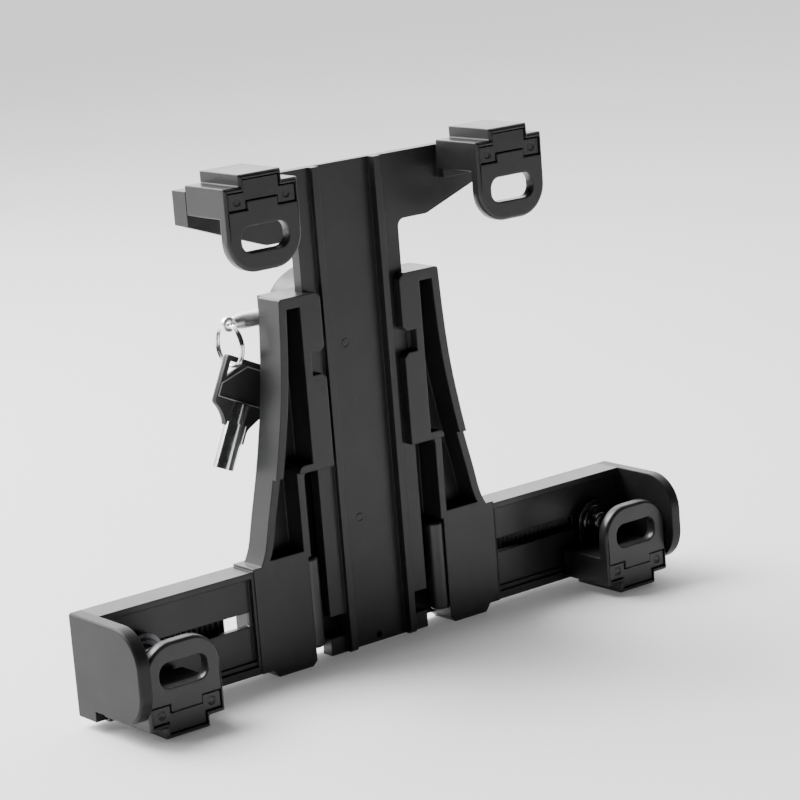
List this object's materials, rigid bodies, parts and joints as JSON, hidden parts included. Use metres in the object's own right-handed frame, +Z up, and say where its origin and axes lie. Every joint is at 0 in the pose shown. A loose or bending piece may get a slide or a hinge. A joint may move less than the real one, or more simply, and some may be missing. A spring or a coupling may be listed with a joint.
{
  "type": "tablet holder",
  "caption": "Lockable tablet holder for a car: a T-shaped sliding upper jaw between curved fins on a winged base, sliding lower hooks, end plates, key lock and a rear bolt pattern.",
  "frame": {"origin": "centre of the rear bolt pattern, on the back face of the rear housing", "axes": "+X along the wings to the right seen from the tablet side, +Y backwards out of the mounting face, +Z up along the spine"},
  "size_m": [0.2604, 0.06, 0.1935],
  "materials": {
    "black_plastic": "fine satin mould texture",
    "core_plastic": "satin",
    "rod_plastic": "satin",
    "dark_steel": "blackened, slightly glossy",
    "chrome": "bright plated",
    "steel": "plain",
    "key_plastic": "satin gloss"
  },
  "bodies": {
    "base": {"base_frame": "black_plastic", "rear_housing": "black_plastic", "lock_body": "chrome", "left_end_plate": "black_plastic", "left_rack_plate": "black_plastic", "left_guide_rod": "rod_plastic", "right_end_plate": "black_plastic", "right_rack_plate": "black_plastic", "right_guide_rod": "rod_plastic"},
    "slider": {"t_slider": "black_plastic", "slider_ladder": "black_plastic", "upper_left_hook": "black_plastic", "upper_left_hook_core": "core_plastic", "upper_right_hook": "black_plastic", "upper_right_hook_core": "core_plastic"},
    "left_carriage": {"lower_left_hook": "black_plastic", "lower_left_hook_core": "core_plastic", "left_washer": "dark_steel", "left_clamp_nut": "dark_steel"},
    "left_screw": {"left_clamp_screw": "dark_steel"},
    "right_carriage": {"lower_right_hook": "black_plastic", "lower_right_hook_core": "core_plastic", "right_washer": "dark_steel", "right_clamp_nut": "dark_steel"},
    "right_screw": {"right_clamp_screw": "dark_steel"},
    "lock": {"lock_plug": "chrome", "lock_cam": "steel", "lock_key": "chrome"},
    "ring": {"key_ring": "chrome"},
    "spare_key": {"spare_key_bow": "key_plastic", "spare_key_barrel": "chrome"}
  },
  "joints": [
    {"name": "jaw_slide", "type": "slide", "parent": "base", "child": "slider", "axis": [0, 0, 1], "range_m": [0, 0.065]},
    {"name": "left_hook_slide", "type": "slide", "parent": "base", "child": "left_carriage", "axis": [1, 0, 0], "range_m": [0, 0.032]},
    {"name": "right_hook_slide", "type": "slide", "parent": "base", "child": "right_carriage", "axis": [-1, 0, 0], "range_m": [0, 0.032]},
    {"name": "left_screw_turn", "type": "hinge", "parent": "left_carriage", "child": "left_screw", "pos_m": [-0.109, -0.031, -0.07815], "axis": [0, 1, 0], "continuous": true},
    {"name": "right_screw_turn", "type": "hinge", "parent": "right_carriage", "child": "right_screw", "pos_m": [0.109, -0.031, -0.07815], "axis": [0, 1, 0], "continuous": true},
    {"name": "key_turn", "type": "hinge", "parent": "base", "child": "lock", "pos_m": [-0.022, -0.009, 0.029], "axis": [1, 0, 0], "range_deg": [0, 90]},
    {"name": "ring_swing", "type": "hinge", "parent": "lock", "child": "ring", "pos_m": [-0.0452, -0.009, 0.029], "axis": [0, 1, 0], "range_deg": [-2, 50]},
    {"name": "spare_swing", "type": "hinge", "parent": "ring", "child": "spare_key", "pos_m": [-0.0452, -0.009, 0.013], "axis": [0, 1, 0], "range_deg": [-20, 45]}
  ]
}
